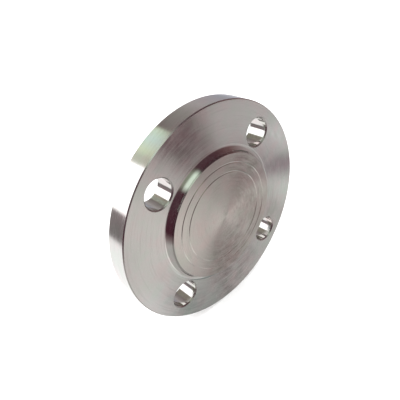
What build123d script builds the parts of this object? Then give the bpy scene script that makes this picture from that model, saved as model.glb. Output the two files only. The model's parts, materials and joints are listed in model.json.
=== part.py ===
"""Raised-face blind flange, turned from one blank of stainless steel.

The flange stands upright. Its axis is Y, its gasket face looks along -Y, and the origin is
the centre of the gasket face. The bolt holes straddle the vertical and horizontal centrelines.
"""

from build123d import *
from math import sqrt
import os

os.makedirs("parts", exist_ok=True)

# Overall sizes, in millimetres
OUTSIDE_DIAMETER = 127.0
TOTAL_THICKNESS = 15.9
RAISED_FACE_DIAMETER = 73.0
RAISED_FACE_HEIGHT = 3.5

# Bolt holes, drilled straight through the ring
BOLT_CIRCLE_DIAMETER = 98.4
BOLT_HOLE_DIAMETER = 15.9
BOLT_HOLE_COUNT = 4
FIRST_BOLT_HOLE_ANGLE = 45.0

# Edge treatment
RIM_CHAMFER = 0.5
BOLT_HOLE_CHAMFER = 0.7
RAISED_FACE_CHAMFER = 0.2

# The raised face's side is one concave curve, tangent to the ring face
SIDE_CURVE_RADIUS = 3.8

# Two V grooves turned into the gasket face
GROOVE_DIAMETERS = (62.6, 52.6)
GROOVE_WIDTH = 0.7
GROOVE_DEPTH = 0.14

# Derived sizes and planes. The gasket plane's normal is -Y, so depths into the metal are negative.
RING_THICKNESS = TOTAL_THICKNESS - RAISED_FACE_HEIGHT
RAISED_FACE_RADIUS = RAISED_FACE_DIAMETER / 2
CURVE_RISE = SIDE_CURVE_RADIUS - RAISED_FACE_HEIGHT + RAISED_FACE_CHAMFER
CURVE_FOOT_RADIUS = RAISED_FACE_RADIUS + sqrt(SIDE_CURVE_RADIUS**2 - CURVE_RISE**2)
GASKET_PLANE = Plane.XZ
RING_FACE_PLANE = GASKET_PLANE.offset(-RAISED_FACE_HEIGHT)
BACK_PLANE = GASKET_PLANE.offset(-TOTAL_THICKNESS)


def circles_of(part, diameter):
    """The circular edges of the part that have this diameter."""
    circles = part.edges().filter_by(GeomType.CIRCLE)
    return circles.filter_by(lambda edge: abs(2 * edge.radius - diameter) < 1e-6)


with BuildPart() as blind_flange:
    # Ring, from the back face up to the ring face
    with BuildSketch(BACK_PLANE):
        Circle(OUTSIDE_DIAMETER / 2)
    extrude(amount=RING_THICKNESS)
    chamfer(circles_of(blind_flange, OUTSIDE_DIAMETER), RIM_CHAMFER)

    # Raised face with its chamfered edge and concave side: a half-section turned about the axis
    with BuildSketch(Plane.XY):
        with BuildLine():
            Polyline(
                (CURVE_FOOT_RADIUS, RAISED_FACE_HEIGHT),
                (0, RAISED_FACE_HEIGHT),
                (0, 0),
                (RAISED_FACE_RADIUS - RAISED_FACE_CHAMFER, 0),
                (RAISED_FACE_RADIUS, RAISED_FACE_CHAMFER),
            )
            TangentArc(
                (CURVE_FOOT_RADIUS, RAISED_FACE_HEIGHT),
                (RAISED_FACE_RADIUS, RAISED_FACE_CHAMFER),
                tangent=(-1, 0),
            )
        make_face()
    revolve(axis=Axis.Y)

    # Bolt holes, with both mouths chamfered
    with BuildSketch(RING_FACE_PLANE):
        with PolarLocations(BOLT_CIRCLE_DIAMETER / 2, BOLT_HOLE_COUNT, FIRST_BOLT_HOLE_ANGLE):
            Circle(BOLT_HOLE_DIAMETER / 2)
    extrude(amount=-RING_THICKNESS, mode=Mode.SUBTRACT)
    chamfer(circles_of(blind_flange, BOLT_HOLE_DIAMETER), BOLT_HOLE_CHAMFER)

    # V grooves: one half-section each, on the +X side, turned about the flange's axis
    with BuildSketch(Plane.XY):
        for diameter in GROOVE_DIAMETERS:
            with BuildLine():
                Polyline(
                    (diameter / 2 - GROOVE_WIDTH / 2, 0),
                    (diameter / 2, GROOVE_DEPTH),
                    (diameter / 2 + GROOVE_WIDTH / 2, 0),
                    close=True,
                )
            make_face()
    revolve(axis=Axis.Y, mode=Mode.SUBTRACT)

blind_flange.part.label = "blind_flange"
export_step(blind_flange.part, "parts/blind_flange.step")
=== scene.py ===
"""Looks of the raised-face blind flange: one finely meshed turned piece in satin stainless steel.

The piece stands for the CAD node and shares its frame: metres, axis along Y, gasket face at y = 0
looking along -Y, bolt holes straddling the centrelines, +Z up.
"""

import json
import math

import bmesh
import bpy
import numpy as np
from mathutils import Matrix, Vector


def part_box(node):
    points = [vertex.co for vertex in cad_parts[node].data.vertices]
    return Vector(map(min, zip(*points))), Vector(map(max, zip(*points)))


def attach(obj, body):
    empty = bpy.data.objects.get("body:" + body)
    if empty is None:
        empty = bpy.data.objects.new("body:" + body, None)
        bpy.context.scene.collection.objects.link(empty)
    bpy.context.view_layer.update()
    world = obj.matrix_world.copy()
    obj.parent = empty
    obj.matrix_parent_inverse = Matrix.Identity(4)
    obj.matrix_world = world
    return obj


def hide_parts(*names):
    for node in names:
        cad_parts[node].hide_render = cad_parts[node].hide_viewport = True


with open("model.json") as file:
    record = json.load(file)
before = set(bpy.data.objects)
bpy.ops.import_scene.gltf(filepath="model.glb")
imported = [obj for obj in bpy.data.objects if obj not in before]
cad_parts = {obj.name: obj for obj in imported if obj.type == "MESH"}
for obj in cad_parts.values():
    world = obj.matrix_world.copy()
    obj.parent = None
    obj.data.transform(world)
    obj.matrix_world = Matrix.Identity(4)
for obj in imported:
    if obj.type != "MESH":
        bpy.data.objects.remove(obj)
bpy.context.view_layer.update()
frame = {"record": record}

MM = 0.001
TURN = 2 * math.pi

# Sizes that the frame gives
NODE = "blind_flange"
box_low, box_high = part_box(NODE)
mounts = {mount["name"]: mount for mount in frame["record"]["mounts"]}
bolt_dims = mounts["bolt_holes"]["dims"]
GASKET_Y = box_low.y
BACK_Y = box_high.y
OUTER_R = box_high.x
BOLT_CIRCLE_R = bolt_dims["pcd_mm"] / 2 * MM
BOLT_HOLE_R = bolt_dims["hole_r_mm"] * MM
BOLT_HOLES = bolt_dims["count"]

# Details of the turned shape
RAISED_FACE_R = 36.5 * MM
RING_Y = GASKET_Y + 3.5 * MM
RAISED_FACE_CHAMFER = 0.2 * MM
SIDE_CURVE_R = 3.8 * MM
RIM_CHAMFER = 0.5 * MM
BOLT_HOLE_CHAMFER = 0.7 * MM
GROOVE_RADII = (26.3 * MM, 31.3 * MM)
GROOVE_WIDTH = 0.7 * MM
GROOVE_DEPTH = 0.14 * MM
EDGE_ROUNDING = 0.12 * MM

# The raised face's side is one concave curve, tangent to the ring face. Where it starts, as a
# slope off the axis, and where it ends, as a radius.
CURVE_START = math.asin((SIDE_CURVE_R - (RING_Y - GASKET_Y) + RAISED_FACE_CHAMFER) / SIDE_CURVE_R)
CURVE_FOOT_R = RAISED_FACE_R + SIDE_CURVE_R * math.cos(CURVE_START)

# Mesh fineness
SEGMENTS = 512
WEB_ROWS = 8
SPOKE_STEPS = 24
ARC_STEPS = 4
CURVE_STEPS = 20
# Width of the narrow flat strips that end a face beside an edge and beside a groove
FLAT_MARGIN = 0.05 * MM
GROOVE_MARGIN = 0.175 * MM

# The studio camera
CAMERA_LENS = 35.9
CAMERA_PLACE = Vector((-111.9, -129.5, 137.5)) * MM
CAMERA_BACKWARD = Vector((-0.4866, -0.6492, 0.5846))
CAMERA_UP = Vector((0.4971, 0.3445, 0.7964))

# Finishes, in the order of the piece's material slots
FACE, GASKET, RIM, BORE, EDGE = range(5)

# Marks in the metal. Waves are counted a radian round the axis. A shade is how much a mark changes
# the brightness, and a height is how much it lifts the surface.
NOISE_ROUGHNESS = 0.6
RING_WAVES = 4.0
RING_SPACING = 1.1 * MM
RING_SHADE = 0.12
RING_HEIGHT = 0.0025 * MM
CHATTER_WAVES = 22.0
CHATTER_SPACING = 33 * MM
CHATTER_HEIGHT = 0.006 * MM
PATCH_SIZE = 9 * MM
PATCH_SHADE = 0.12
SCRATCH_WAVES = 2.5
SCRATCH_SPACING = 0.5 * MM
SCRATCH_START, SCRATCH_FULL = 0.62, 0.72
SCRATCH_SHADE = 0.05
# A painted highlight: the colour is lightened towards the middle of a face, from nothing at the start
# radius to the full gain inside the full one
CENTRE_HIGHLIGHT_START, CENTRE_HIGHLIGHT_FULL = 15 * MM, 5 * MM
CENTRE_HIGHLIGHT_GAIN = 0.16

# Haze, a faint matt part of the metal's look. It is full for views well away from the studio
# camera's and absent near it, where the cards alone give the look. Its two limits are cosines of
# the angle between the views.
HAZE = 0.12
HAZE_NONE, HAZE_FULL = 0.92, 0.8

# Passive film, from pinkish to greenish grey, by the noise that places it
FILM_COLOURS = [
    (0.35, (0.64, 0.588, 0.578)),
    (0.5, (0.62, 0.605, 0.59)),
    (0.65, (0.595, 0.612, 0.578)),
]
# What the two turned faces add to it
FACE_TINT = (0.98, 0.98, 0.98)
GASKET_TINT = (0.95, 0.92, 0.89)


# ---------------------------------------------------------------- shape


def rounded(corners):
    """Points along a polyline of (radius, y, rounding, steps), with an arc at each inner corner."""
    points = [np.array(corners[0][:2])]
    for before, corner, after in zip(corners, corners[1:], corners[2:]):
        here = np.array(corner[:2])
        rounding, steps = corner[2:]
        to_before = np.array(before[:2]) - here
        to_after = np.array(after[:2]) - here
        to_before /= np.linalg.norm(to_before)
        to_after /= np.linalg.norm(to_after)
        half_angle = math.acos(np.clip(to_before @ to_after, -1, 1)) / 2
        bisector = (to_before + to_after) / np.linalg.norm(to_before + to_after)
        centre = here + bisector * rounding / math.sin(half_angle)
        start = here + to_before * rounding / math.tan(half_angle) - centre
        end = here + to_after * rounding / math.tan(half_angle) - centre
        sweep = math.pi - 2 * half_angle
        for step in range(steps + 1):
            share = step / steps
            arm = start * math.sin((1 - share) * sweep) + end * math.sin(share * sweep)
            points.append(centre + arm / math.sin(sweep))
    points.append(np.array(corners[-1][:2]))
    return points


def groove_points(radius):
    """A shallow V groove across the gasket face, with its corners slightly rounded."""
    half = GROOVE_WIDTH / 2
    corners = [
        (radius - half - GROOVE_MARGIN, GASKET_Y),
        (radius - half, GASKET_Y, EDGE_ROUNDING, ARC_STEPS),
        (radius, GASKET_Y + GROOVE_DEPTH, EDGE_ROUNDING, ARC_STEPS),
        (radius + half, GASKET_Y, EDGE_ROUNDING, ARC_STEPS),
        (radius + half + GROOVE_MARGIN, GASKET_Y),
    ]
    return [tuple(point) for point in rounded(corners)]


def side_curve():
    """The concave side of the raised face, from its steep start down to the ring face."""
    points = []
    for step in range(CURVE_STEPS + 1):
        slope = CURVE_START + (math.pi / 2 - CURVE_START) * step / CURVE_STEPS
        radius = CURVE_FOOT_R - SIDE_CURVE_R * math.cos(slope)
        points.append((radius, RING_Y - SIDE_CURVE_R * (1 - math.sin(slope))))
    return points


class FlangeMesh:
    """Vertices, faces and the finish of each face, gathered ring by ring."""

    def __init__(self):
        self.points = []
        self.faces = []
        self.finishes = []

    def point(self, x, y, z):
        """One vertex. Returns its index."""
        self.points.append((x, y, z))
        return len(self.points) - 1

    def ring(self, radius, y):
        """A full circle of vertices about the flange's axis."""
        angles = [TURN * i / SEGMENTS for i in range(SEGMENTS)]
        return [self.point(radius * math.cos(angle), y, radius * math.sin(angle)) for angle in angles]

    def bridge(self, loop_a, loop_b, finish):
        """Quads between two closed loops of the same length."""
        count = len(loop_a)
        for i in range(count):
            j = (i + 1) % count
            self.faces.append((loop_a[i], loop_a[j], loop_b[j], loop_b[i]))
            self.finishes.append(finish)

    def lathe(self, profile, finish, chamfer=None):
        """Rings at each (radius, y), joined in order. Returns the first and last ring.

        If the profile is a wall with chamfers, they get the broken edge's finish.
        """
        rings = [self.ring(radius, y) for radius, y in profile]
        depths = [y for _, y in profile]
        for above, below, inner, outer in zip(depths, depths[1:], rings, rings[1:]):
            band = finish if chamfer is None else side_finish(above, below, finish, chamfer)
            self.bridge(inner, outer, band)
        return rings[0], rings[-1]

    def cap(self, ring, y, finish):
        """Closes the middle of a face with triangles to its centre."""
        centre = self.point(0, y, 0)
        for i in range(SEGMENTS):
            self.faces.append((ring[i], ring[(i + 1) % SEGMENTS], centre))
            self.finishes.append(finish)

    def web(self, inner, outer, mouth_radius, y):
        """The flat ring between two circles, pierced by the bolt holes. Returns each mouth's loop."""
        sector = SEGMENTS // BOLT_HOLES
        starts = range(0, SEGMENTS, sector)
        spokes = [self.spoke(inner[start], outer[start]) for start in starts]
        mouths = []
        for hole, start in enumerate(starts):
            span = [(start + i) % SEGMENTS for i in range(sector + 1)]
            border = [outer[i] for i in span]
            border += spokes[(hole + 1) % BOLT_HOLES][::-1]
            border += [inner[i] for i in reversed(span)]
            border += spokes[hole]
            mouths.append(self.collar(border, hole_centre(hole), mouth_radius, y))
        return mouths

    def spoke(self, start, end):
        """Vertices strictly between two others, on the straight line."""
        near, far = np.array(self.points[start]), np.array(self.points[end])
        spots = [near + (far - near) * i / SPOKE_STEPS for i in range(1, SPOKE_STEPS)]
        return [self.point(*spot) for spot in spots]

    def collar(self, border, centre, mouth_radius, y):
        """Rows of quads from a sector's border in to its hole's mouth. Returns the mouth's loop.

        Rows are spaced in polar coordinates, so that they bend with the circles they lie between.
        """
        hole_angle = math.atan2(centre[1], centre[0])
        outward = centre / BOLT_CIRCLE_R
        sideways = np.array((-outward[1], outward[0]))
        edge, mouth = [], []
        for index in border:
            x, _, z = self.points[index]
            swing = math.remainder(math.atan2(z, x) - hole_angle, TURN)
            reach = math.hypot(x, z) - BOLT_CIRCLE_R
            way = outward * reach + sideways * swing * BOLT_CIRCLE_R
            spot = centre + way * mouth_radius / np.linalg.norm(way)
            spot_swing = math.remainder(math.atan2(spot[1], spot[0]) - hole_angle, TURN)
            edge.append((hole_angle + swing, reach + BOLT_CIRCLE_R))
            mouth.append((hole_angle + spot_swing, math.hypot(*spot)))
        loop = border
        for row in range(WEB_ROWS - 1, -1, -1):
            share = row / WEB_ROWS
            inward = []
            for (mouth_angle, mouth_r), (edge_angle, edge_r) in zip(mouth, edge):
                angle = mouth_angle + (edge_angle - mouth_angle) * share
                radius = mouth_r + (edge_r - mouth_r) * share
                inward.append(self.point(radius * math.cos(angle), y, radius * math.sin(angle)))
            self.bridge(loop, inward, FACE)
            loop = inward
        return loop

    def bore(self, front_mouth, back_mouth, centre, profile):
        """The wall of one bolt hole, between its two mouths."""
        spots = [np.array(self.points[i])[[0, 2]] - centre for i in front_mouth]
        ways = [spot / np.linalg.norm(spot) for spot in spots]
        loop, above = front_mouth, profile[0][1]
        for radius, y in profile[1:-1]:
            spots = [centre + radius * way for way in ways]
            deeper = [self.point(x, y, z) for x, z in spots]
            self.bridge(loop, deeper, side_finish(above, y, BORE, BOLT_HOLE_CHAMFER))
            loop, above = deeper, y
        self.bridge(loop, back_mouth, EDGE)


def side_finish(y_a, y_b, finish, chamfer):
    """The finish of a band between two depths: the wall's own, or the broken edge's on a chamfer."""
    middle = (y_a + y_b) / 2
    on_wall = RING_Y + chamfer < middle < BACK_Y - chamfer
    return finish if on_wall else EDGE


def hole_centre(hole):
    """The (x, z) centre of a bolt hole, by its number. The holes straddle the centrelines."""
    angle = TURN * (hole + 0.5) / BOLT_HOLES
    return np.array((BOLT_CIRCLE_R * math.cos(angle), BOLT_CIRCLE_R * math.sin(angle)))


def flange_mesh():
    """The whole closed surface of the flange."""
    shape = FlangeMesh()
    sharp = (EDGE_ROUNDING, ARC_STEPS)
    sharper = (EDGE_ROUNDING / 2, ARC_STEPS)

    # Gasket face, from its centre out to the start of the edge chamfer
    face_radii = [radius * MM for radius in (1, 3, 6, 10, 15, 20, 25)]
    face = [(radius, GASKET_Y) for radius in face_radii]
    for groove in GROOVE_RADII:
        face += groove_points(groove)
    chamfer_start = RAISED_FACE_R - RAISED_FACE_CHAMFER
    face.append((chamfer_start - FLAT_MARGIN, GASKET_Y))
    first, face_edge = shape.lathe(face, GASKET)
    shape.cap(first, GASKET_Y, GASKET)

    # Chamfered edge and concave side of the raised face
    curve = side_curve()
    edge = rounded(
        [
            face[-1],
            (chamfer_start, GASKET_Y, *sharp),
            (RAISED_FACE_R, GASKET_Y + RAISED_FACE_CHAMFER, *sharper),
            curve[1],
        ]
    )
    wall = edge + curve[2:] + [(CURVE_FOOT_R + FLAT_MARGIN, RING_Y)]
    wall_rings = [face_edge] + [shape.ring(radius, y) for radius, y in wall[1:]]
    for inner, outer in zip(wall_rings, wall_rings[1:]):
        shape.bridge(inner, outer, RIM)

    # Rim with a chamfer at each edge
    rim = rounded(
        [
            (OUTER_R - RIM_CHAMFER - FLAT_MARGIN, RING_Y),
            (OUTER_R - RIM_CHAMFER, RING_Y, *sharp),
            (OUTER_R, RING_Y + RIM_CHAMFER, *sharp),
            (OUTER_R, BACK_Y - RIM_CHAMFER, *sharp),
            (OUTER_R - RIM_CHAMFER, BACK_Y, *sharp),
            (OUTER_R - RIM_CHAMFER - FLAT_MARGIN, BACK_Y),
        ]
    )
    rim_front, rim_back = shape.lathe(rim, RIM, RIM_CHAMFER)

    # Back face, inside the holes
    back_radii = [radius * MM for radius in (1, 5, 12, 20, 30)] + [CURVE_FOOT_R + FLAT_MARGIN]
    first, back_edge = shape.lathe([(radius, BACK_Y) for radius in back_radii], FACE)
    shape.cap(first, BACK_Y, FACE)

    # The two pierced webs and the bolt holes between them
    bore = rounded(
        [
            (BOLT_HOLE_R + BOLT_HOLE_CHAMFER + FLAT_MARGIN, RING_Y),
            (BOLT_HOLE_R + BOLT_HOLE_CHAMFER, RING_Y, *sharp),
            (BOLT_HOLE_R, RING_Y + BOLT_HOLE_CHAMFER, *sharp),
            (BOLT_HOLE_R, BACK_Y - BOLT_HOLE_CHAMFER, *sharp),
            (BOLT_HOLE_R + BOLT_HOLE_CHAMFER, BACK_Y, *sharp),
            (BOLT_HOLE_R + BOLT_HOLE_CHAMFER + FLAT_MARGIN, BACK_Y),
        ]
    )
    mouth_radius = bore[0][0]
    front_mouths = shape.web(wall_rings[-1], rim_front, mouth_radius, RING_Y)
    back_mouths = shape.web(back_edge, rim_back, mouth_radius, BACK_Y)
    for hole in range(BOLT_HOLES):
        shape.bore(front_mouths[hole], back_mouths[hole], hole_centre(hole), bore)
    return shape


def area_weighted_normals(mesh):
    """One normal per vertex, led by its largest faces, so that flats stay flat beside small arcs."""
    totals = np.zeros((len(mesh.vertices), 3))
    for face in mesh.polygons:
        totals[list(face.vertices)] += np.array(face.normal) * face.area
    return totals / np.linalg.norm(totals, axis=1, keepdims=True)


def build_flange(finishes):
    """The visible flange as one closed, smoothly shaded mesh object."""
    shape = flange_mesh()
    mesh = bpy.data.meshes.new(NODE + "_turned")
    mesh.from_pydata([tuple(point) for point in shape.points], [], shape.faces)
    for finish in finishes:
        mesh.materials.append(finish)
    mesh.polygons.foreach_set("material_index", shape.finishes)
    work = bmesh.new()
    work.from_mesh(mesh)
    bmesh.ops.recalc_face_normals(work, faces=work.faces)
    work.to_mesh(mesh)
    work.free()
    mesh.shade_smooth()
    mesh.normals_split_custom_set_from_vertices(area_weighted_normals(mesh))
    piece = bpy.data.objects.new(NODE + "_turned", mesh)
    bpy.context.scene.collection.objects.link(piece)
    return piece


# ---------------------------------------------------------------- materials


class Graph:
    """A few shorthands for building a node tree."""

    def __init__(self, tree):
        self.tree = tree
        tree.nodes.clear()

    def add(self, kind, **inputs):
        """A node, with inputs given as values or as sockets to link from."""
        node = self.tree.nodes.new(kind)
        for name, value in inputs.items():
            self.feed(node.inputs[name.replace("_", " ")], value)
        return node

    def feed(self, socket, value):
        """Links another socket to this one, or sets its value."""
        if isinstance(value, bpy.types.NodeSocket):
            self.tree.links.new(value, socket)
        else:
            socket.default_value = value

    def math(self, operation, *values, clamp=False):
        """The result of a Math node."""
        node = self.tree.nodes.new("ShaderNodeMath")
        node.operation = operation
        node.use_clamp = clamp
        for socket, value in zip(node.inputs, values):
            self.feed(socket, value)
        return node.outputs[0]

    def vector(self, operation, *values):
        """The result of a Vector Math node."""
        node = self.tree.nodes.new("ShaderNodeVectorMath")
        node.operation = operation
        for socket, value in zip(node.inputs, values):
            self.feed(socket, value)
        return node.outputs["Value" if operation == "DOT_PRODUCT" else "Vector"]

    def product(self, first, *others):
        """All the values multiplied together."""
        for other in others:
            first = self.math("MULTIPLY", first, other)
        return first

    def total(self, first, *others):
        """All the values added together."""
        for other in others:
            first = self.math("ADD", first, other)
        return first

    def length(self, a, b):
        """Length of the flat vector (a, b)."""
        return self.math("SQRT", self.total(self.product(a, a), self.product(b, b)))

    def step_up(self, value, start, end):
        """From 0 at start to 1 at end, and flat beyond them. The end may be the lower of the two."""
        return self.math("DIVIDE", self.math("SUBTRACT", value, start), end - start, clamp=True)

    def mix(self, share, a, b):
        """Colour a at share 0, colour b at share 1, by a Mix node's sockets for colours."""
        node = self.tree.nodes.new("ShaderNodeMix")
        node.data_type = "RGBA"
        self.feed(node.inputs[0], share)
        self.feed(node.inputs[6], a)
        self.feed(node.inputs[7], b)
        return node.outputs[2]

    def ramp(self, share, stops):
        """A colour ramp through (position, colour) stops."""
        node = self.tree.nodes.new("ShaderNodeValToRGB")
        elements = node.color_ramp.elements
        while len(elements) < len(stops):
            elements.new(0.5)
        for element, (position, colour) in zip(elements, stops):
            element.position = position
            element.color = (*colour, 1)
        self.feed(node.inputs[0], share)
        return node.outputs["Color"]


def turned_noise(graph, x, depth, z, radius, around, across, detail):
    """Noise wrapped round an axis: so many waves a radian round it, and so many a metre across."""
    where = graph.add(
        "ShaderNodeCombineXYZ",
        X=graph.product(graph.math("DIVIDE", x, radius), around),
        Y=graph.product(depth, across),
        Z=graph.product(graph.math("DIVIDE", z, radius), around),
    )
    noise = graph.add(
        "ShaderNodeTexNoise",
        Vector=where.outputs[0],
        Scale=1.0,
        Detail=detail,
        Roughness=NOISE_ROUGHNESS,
    )
    return noise.outputs["Fac"]


def steel(name, roughness, anisotropy, tint=(1.0, 1.0, 1.0), bore=False, painted_centre_highlight=False):
    """Turned stainless steel: tool marks run round the axis, and the highlight spreads across them."""
    material = bpy.data.materials.new(name)
    material.use_nodes = True
    graph = Graph(material.node_tree)
    geometry = graph.add("ShaderNodeNewGeometry")
    split = graph.add("ShaderNodeSeparateXYZ", Vector=geometry.outputs["Position"])
    x, y, z = split.outputs
    if bore:
        # Measured from the nearest bolt hole's own axis
        offset = BOLT_CIRCLE_R * math.cos(math.pi / BOLT_HOLES)
        x = graph.math("SUBTRACT", x, graph.product(graph.math("SIGN", x), offset))
        z = graph.math("SUBTRACT", z, graph.product(graph.math("SIGN", z), offset))
    along = graph.add("ShaderNodeCombineXYZ", X=graph.product(z, -1.0), Y=0.0, Z=x)
    across = graph.vector("CROSS_PRODUCT", along.outputs[0], geometry.outputs["Normal"])
    across = graph.vector("NORMALIZE", across)

    # Rings left by the tool, chatter that crosses them, patches of passive film and scratches
    radius = graph.length(x, z)
    depth = graph.total(radius, y)
    place = (graph, x, depth, z, radius)
    rings = turned_noise(*place, around=RING_WAVES, across=1 / RING_SPACING, detail=2.0)
    chatter = turned_noise(*place, around=CHATTER_WAVES, across=1 / CHATTER_SPACING, detail=1.0)
    scratches = turned_noise(*place, around=SCRATCH_WAVES, across=1 / SCRATCH_SPACING, detail=0.0)
    scratches = graph.step_up(scratches, SCRATCH_START, SCRATCH_FULL)
    patches = graph.add(
        "ShaderNodeTexNoise",
        Vector=geometry.outputs["Position"],
        Scale=1 / PATCH_SIZE,
        Detail=4.0,
        Roughness=NOISE_ROUGHNESS,
    )
    cloudy = patches.outputs["Fac"]
    film = graph.add("ShaderNodeSeparateColor", Color=patches.outputs["Color"]).outputs["Green"]

    # Colour, darkened and lightened round 1 by the patterns
    shade = graph.total(graph.product(rings, RING_SHADE), graph.product(cloudy, PATCH_SHADE))
    shade = graph.total(shade, 1 - (RING_SHADE + PATCH_SHADE) / 2)
    shade = graph.math("SUBTRACT", shade, graph.product(scratches, SCRATCH_SHADE))
    # Painted highlight: the colour is lightened towards the middle of the face
    if painted_centre_highlight:
        centre_highlight = graph.step_up(radius, CENTRE_HIGHLIGHT_START, CENTRE_HIGHLIGHT_FULL)
        shade = graph.total(shade, graph.product(centre_highlight, CENTRE_HIGHLIGHT_GAIN))
    grey = graph.add("ShaderNodeCombineXYZ", X=shade, Y=shade, Z=shade).outputs[0]
    colour = graph.vector("MULTIPLY", graph.ramp(film, FILM_COLOURS), tint)
    colour = graph.vector("MULTIPLY", colour, grey)

    # Relief, with chatter that grows towards the rim
    reach = graph.math("DIVIDE", radius, OUTER_R)
    chatter_height = graph.product(reach, reach, CHATTER_HEIGHT)
    height = graph.total(graph.product(rings, RING_HEIGHT), graph.product(chatter, chatter_height))
    bump = graph.add("ShaderNodeBump", Strength=1.0, Distance=1.0, Height=height)

    # Haze, by how far the view is from the studio camera's, and only as a camera sees it
    likeness = graph.vector("DOT_PRODUCT", geometry.outputs["Incoming"], CAMERA_PLACE.normalized())
    away = graph.step_up(likeness, HAZE_NONE, HAZE_FULL)
    seen = graph.add("ShaderNodeLightPath").outputs["Is Camera Ray"]
    haze = graph.product(away, seen, HAZE)

    # The two patterns average about a half each, so they leave the roughness near its given value
    shader = graph.add(
        "ShaderNodeBsdfPrincipled",
        Base_Color=colour,
        Metallic=graph.math("SUBTRACT", 1.0, haze),
        Roughness=graph.product(graph.total(rings, cloudy), roughness),
        Anisotropic=anisotropy,
        Tangent=across,
        Normal=bump.outputs[0],
    )
    graph.add("ShaderNodeOutputMaterial", Surface=shader.outputs[0])
    return material


# ---------------------------------------------------------------- studio


# The direction, across the flange's axis, in which the flat faces mirror the camera's view
MIRROR_X, MIRROR_Z = 0.505, -0.62

# A backdrop round that direction, which changes from left to right and from low to high
LEFT_END, RIGHT_END = -0.05, 0.12
LOW_END, HIGH_END = -0.3, 0.3
LEFT_LOW, LEFT_HIGH = (0.82, 0.81, 0.8), (0.64, 0.6, 0.58)
RIGHT_LOW, RIGHT_HIGH = (0.8, 0.86, 0.83), (0.73, 0.72, 0.71)
# Cards in front of it, which the flat faces mirror, from the lowest layer to the top one. Each has
# its centre and half sizes, as offsets from the direction, its turn in degrees and its colour.
NEAR_CARDS = [
    ("veil", (0.0, 0.46), (0.26, 0.26), 0, (0.48, 0.41, 0.41)),
    ("curtain", (0.0, 0.3), (0.08, 0.2), 0, (0.33, 0.26, 0.26)),
    ("dark gap", (0.01, 0.18), (0.055, 0.07), 0, (0.16, 0.1, 0.11)),
    ("side glow", (-0.17, 0.03), (0.08, 0.06), 0, (0.88, 0.85, 0.82)),
    ("lamp", (-0.17, -0.07), (0.15, 0.045), 30, (0.98, 0.94, 0.91)),
    ("lamp head", (-0.26, -0.15), (0.06, 0.04), 20, (1.1, 1.1, 1.1)),
    ("reflector", (0.17, 0.02), (0.07, 0.035), 0, (1.06, 1.12, 1.08)),
    ("top light", (0.21, 0.15), (0.06, 0.03), 0, (1.02, 1.02, 1.02)),
    ("stand", (-0.05, -0.09), (0.13, 0.03), 42, (0.22, 0.18, 0.18)),
    ("wrist", (0.07, 0.02), (0.06, 0.04), 60, (0.42, 0.36, 0.35)),
    ("hand", (0.1, 0.1), (0.05, 0.03), 20, (0.24, 0.18, 0.19)),
    ("arm", (0.17, 0.09), (0.06, 0.018), 15, (0.4, 0.34, 0.37)),
    ("foot", (-0.18, -0.24), (0.08, 0.14), -10, (0.3, 0.33, 0.32)),
    ("dark wall", (-0.4, 0.27), (0.14, 0.13), 0, (0.1, 0.05, 0.06)),
    ("shade", (0.34, 0.22), (0.12, 0.09), 30, (0.42, 0.38, 0.38)),
]
# What the side of the raised face mirrors, by direction round the same point
OUTER_CARDS = [
    (0, (0.4, 0.37, 0.38)),
    (12, (0.4, 0.37, 0.38)),
    (16, (0.5, 0.46, 0.46)),
    (50, (0.45, 0.38, 0.38)),
    (68, (0.2, 0.11, 0.11)),
    (85, (0.08, 0.03, 0.04)),
    (164, (0.08, 0.025, 0.04)),
    (170, (0.3, 0.24, 0.24)),
    (175, (0.6, 0.58, 0.56)),
    (240, (0.6, 0.58, 0.56)),
    (255, (0.78, 0.75, 0.72)),
    (350, (0.85, 0.8, 0.8)),
    (360, (0.4, 0.37, 0.38)),
]
# A pale green window among them, between two directions and brighter farther out
WINDOW_FROM, WINDOW_TO = 107, 125
WINDOW_SOFT_EDGE = 3.0
WINDOW_NEAR, WINDOW_FAR = 1.2, 1.6
WINDOW_EDGE = (0.33, 0.36, 0.28)
WINDOW_PANE = (1.0, 1.16, 0.99)
# A lamp farther off than the near cards, which only the walls of the grooves mirror
FAR_LAMP = ((-0.55, -0.09), (0.09, 0.17), -8, (1.3, 1.26, 1.22))
# What the rim and the bolt holes mirror, counted about the flange's axis instead
BACK_CARDS = [
    (0, (0.4, 0.39, 0.44)),
    (30, (0.5, 0.46, 0.46)),
    (50, (0.36, 0.32, 0.31)),
    (75, (0.25, 0.22, 0.21)),
    (77, (0.3, 0.28, 0.24)),
    (120, (0.32, 0.29, 0.24)),
    (124, (2.2, 2.2, 2.2)),
    (174, (2.2, 2.2, 2.2)),
    (176, (0.32, 0.26, 0.27)),
    (205, (0.26, 0.24, 0.24)),
    (208, (1.35, 1.35, 1.35)),
    (300, (1.3, 1.3, 1.3)),
    (350, (0.5, 0.5, 0.56)),
    (360, (0.4, 0.39, 0.44)),
]
# The same window as the rim mirrors it, between two directions and beyond a depth along the axis
PANE_FROM, PANE_TO = 77, 122
PANE_SOFT_EDGE = 1.5
PANE_START, PANE_FULL = 0.735, 0.75
PANE_CARDS = [
    (77, (1.09, 1.29, 1.0)),
    (92, (0.98, 1.25, 1.16)),
    (106, (1.07, 1.2, 0.9)),
    (114, (0.85, 0.88, 0.75)),
]

# How far from the mirrored direction the near cards give way to the outer ones, and how deep along
# the axis both give way to the back ones
NEAR_END, OUTER_START = 0.42, 0.6
FRONT_END, BACK_START = 0.25, 0.45
# Where a card starts and ends its fade, in half sizes from its centre
CARD_FADE_START, CARD_FADE_END = 0.6, 1.4
# The white that lights the floor and the haze, the white that the camera sees round the flange,
# and the floor's own
MATT_LIGHT = (1.8, 1.8, 1.8, 1)
CAMERA_WHITE = (1.0, 1.0, 1.0, 1)
FLOOR_WHITE = (0.98, 0.98, 0.98, 1)
# Half the length of the floor's sides, in metres
FLOOR_REACH = 20.0


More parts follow.
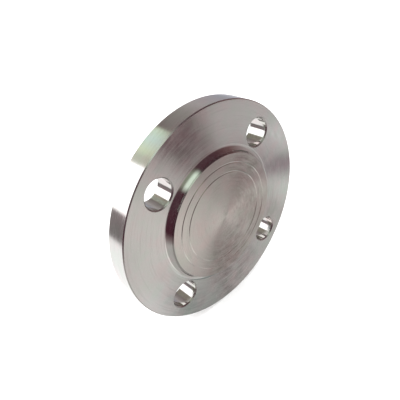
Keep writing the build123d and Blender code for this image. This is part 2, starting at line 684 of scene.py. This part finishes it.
def clock(graph, x, z):
    """Degrees round from +X, anticlockwise seen from the front, from 0 to 360."""
    turns = graph.math("DIVIDE", graph.math("ARCTAN2", z, x), TURN)
    turns = graph.math("FRACT", graph.total(turns, 1.0))
    return graph.product(turns, 360.0)


def card_ring(graph, degrees, cards):
    """The colour in a direction, blended between the two cards on either side of it."""
    stops = [(angle / 360, colour) for angle, colour in cards]
    return graph.ramp(graph.math("DIVIDE", degrees, 360.0), stops)


def between(graph, value, start, end, soft):
    """1 between start and end, falling to 0 over a soft edge on each side."""
    rise = graph.step_up(value, start - soft, start + soft)
    return graph.product(rise, graph.step_up(value, end + soft, end - soft))


def soft_card(graph, x, z, centre, half_size, turn):
    """1 on an elliptical card, fading to 0 round it."""
    length, width = half_size
    cos, sin = math.cos(math.radians(turn)), math.sin(math.radians(turn))
    x = graph.math("SUBTRACT", x, centre[0])
    z = graph.math("SUBTRACT", z, centre[1])
    along = graph.total(graph.product(x, cos / length), graph.product(z, sin / length))
    aside = graph.math("SUBTRACT", graph.product(z, cos / width), graph.product(x, sin / width))
    return graph.step_up(graph.length(along, aside), CARD_FADE_END, CARD_FADE_START)


def studio_light():
    """White surroundings for the floor and the camera, and soft cards that only the metal reflects."""
    world = bpy.data.worlds.new("studio")
    world.use_nodes = True
    bpy.context.scene.world = world
    graph = Graph(world.node_tree)
    where = graph.add("ShaderNodeTexCoord").outputs["Generated"]
    split = graph.add("ShaderNodeSeparateXYZ", Vector=where)
    x, y, z = split.outputs
    off_x = graph.math("SUBTRACT", x, MIRROR_X)
    off_z = graph.math("SUBTRACT", z, MIRROR_Z)
    off = graph.length(off_x, off_z)
    round_mirror = clock(graph, off_x, off_z)

    height = graph.step_up(off_z, LOW_END, HIGH_END)
    left = graph.mix(height, (*LEFT_LOW, 1), (*LEFT_HIGH, 1))
    right = graph.mix(height, (*RIGHT_LOW, 1), (*RIGHT_HIGH, 1))
    near = graph.mix(graph.step_up(off_x, LEFT_END, RIGHT_END), left, right)
    for _, centre, half_size, turn, colour in NEAR_CARDS:
        near = graph.mix(soft_card(graph, off_x, off_z, centre, half_size, turn), near, (*colour, 1))

    outer = card_ring(graph, round_mirror, OUTER_CARDS)
    farther = graph.step_up(off, WINDOW_NEAR, WINDOW_FAR)
    window = graph.mix(farther, (*WINDOW_EDGE, 1), (*WINDOW_PANE, 1))
    in_window = between(graph, round_mirror, WINDOW_FROM, WINDOW_TO, WINDOW_SOFT_EDGE)
    outer = graph.mix(in_window, outer, window)

    back_clock = clock(graph, x, z)
    behind = card_ring(graph, back_clock, BACK_CARDS)
    pane = card_ring(graph, back_clock, PANE_CARDS)
    in_pane = between(graph, back_clock, PANE_FROM, PANE_TO, PANE_SOFT_EDGE)
    in_pane = graph.product(in_pane, graph.step_up(y, PANE_START, PANE_FULL))
    behind = graph.mix(in_pane, behind, pane)

    cards = graph.mix(graph.step_up(off, NEAR_END, OUTER_START), near, outer)
    centre, half_size, turn, colour = FAR_LAMP
    cards = graph.mix(soft_card(graph, off_x, off_z, centre, half_size, turn), cards, (*colour, 1))
    cards = graph.mix(graph.step_up(y, FRONT_END, BACK_START), cards, behind)
    rays = graph.add("ShaderNodeLightPath")
    plain = graph.mix(rays.outputs["Is Camera Ray"], MATT_LIGHT, CAMERA_WHITE)
    colour = graph.mix(rays.outputs["Is Glossy Ray"], plain, cards)
    background = graph.add("ShaderNodeBackground", Color=colour, Strength=1.0)
    graph.add("ShaderNodeOutputWorld", Surface=background.outputs[0])


def pale_floor():
    """A plain white floor under the rim, which the metal doesn't mirror."""
    mesh = bpy.data.meshes.new("floor")
    corners = [(-1, -1), (1, -1), (1, 1), (-1, 1)]
    points = [(x * FLOOR_REACH, y * FLOOR_REACH, box_low.z) for x, y in corners]
    mesh.from_pydata(points, [], [(0, 1, 2, 3)])
    floor = bpy.data.objects.new("floor", mesh)
    bpy.context.scene.collection.objects.link(floor)
    material = bpy.data.materials.new("floor")
    material.use_nodes = True
    graph = Graph(material.node_tree)
    diffuse = graph.add("ShaderNodeBsdfDiffuse", Color=FLOOR_WHITE)
    graph.add("ShaderNodeOutputMaterial", Surface=diffuse.outputs[0])
    mesh.materials.append(material)
    floor.visible_glossy = False


def place_camera():
    """A wide view from the upper left, held with a slight tilt."""
    data = bpy.data.cameras.new("camera")
    data.sensor_width = 36.0
    data.lens = CAMERA_LENS
    data.clip_start = 0.01
    camera = bpy.data.objects.new("camera", data)
    bpy.context.scene.collection.objects.link(camera)
    backward = CAMERA_BACKWARD.normalized()
    right = CAMERA_UP.cross(backward).normalized()
    up = backward.cross(right)
    turn = Matrix((right, up, backward)).transposed().to_4x4()
    camera.matrix_world = Matrix.Translation(CAMERA_PLACE) @ turn
    bpy.context.scene.camera = camera


# ---------------------------------------------------------------- the scene

flange = build_flange(
    [
        steel("turned_face", roughness=0.14, anisotropy=0.9, tint=FACE_TINT),
        # The gasket face carries a painted highlight at its middle
        steel("gasket_face", roughness=0.14, anisotropy=0.9, tint=GASKET_TINT, painted_centre_highlight=True),
        steel("turned_rim", roughness=0.13, anisotropy=0.8),
        steel("drilled_bore", roughness=0.12, anisotropy=0.6, bore=True),
        steel("broken_edge", roughness=0.3, anisotropy=0.9),
    ]
)
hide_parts(NODE)
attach(flange, "root")

studio_light()
pale_floor()
place_camera()
bpy.context.scene.view_settings.view_transform = "Standard"
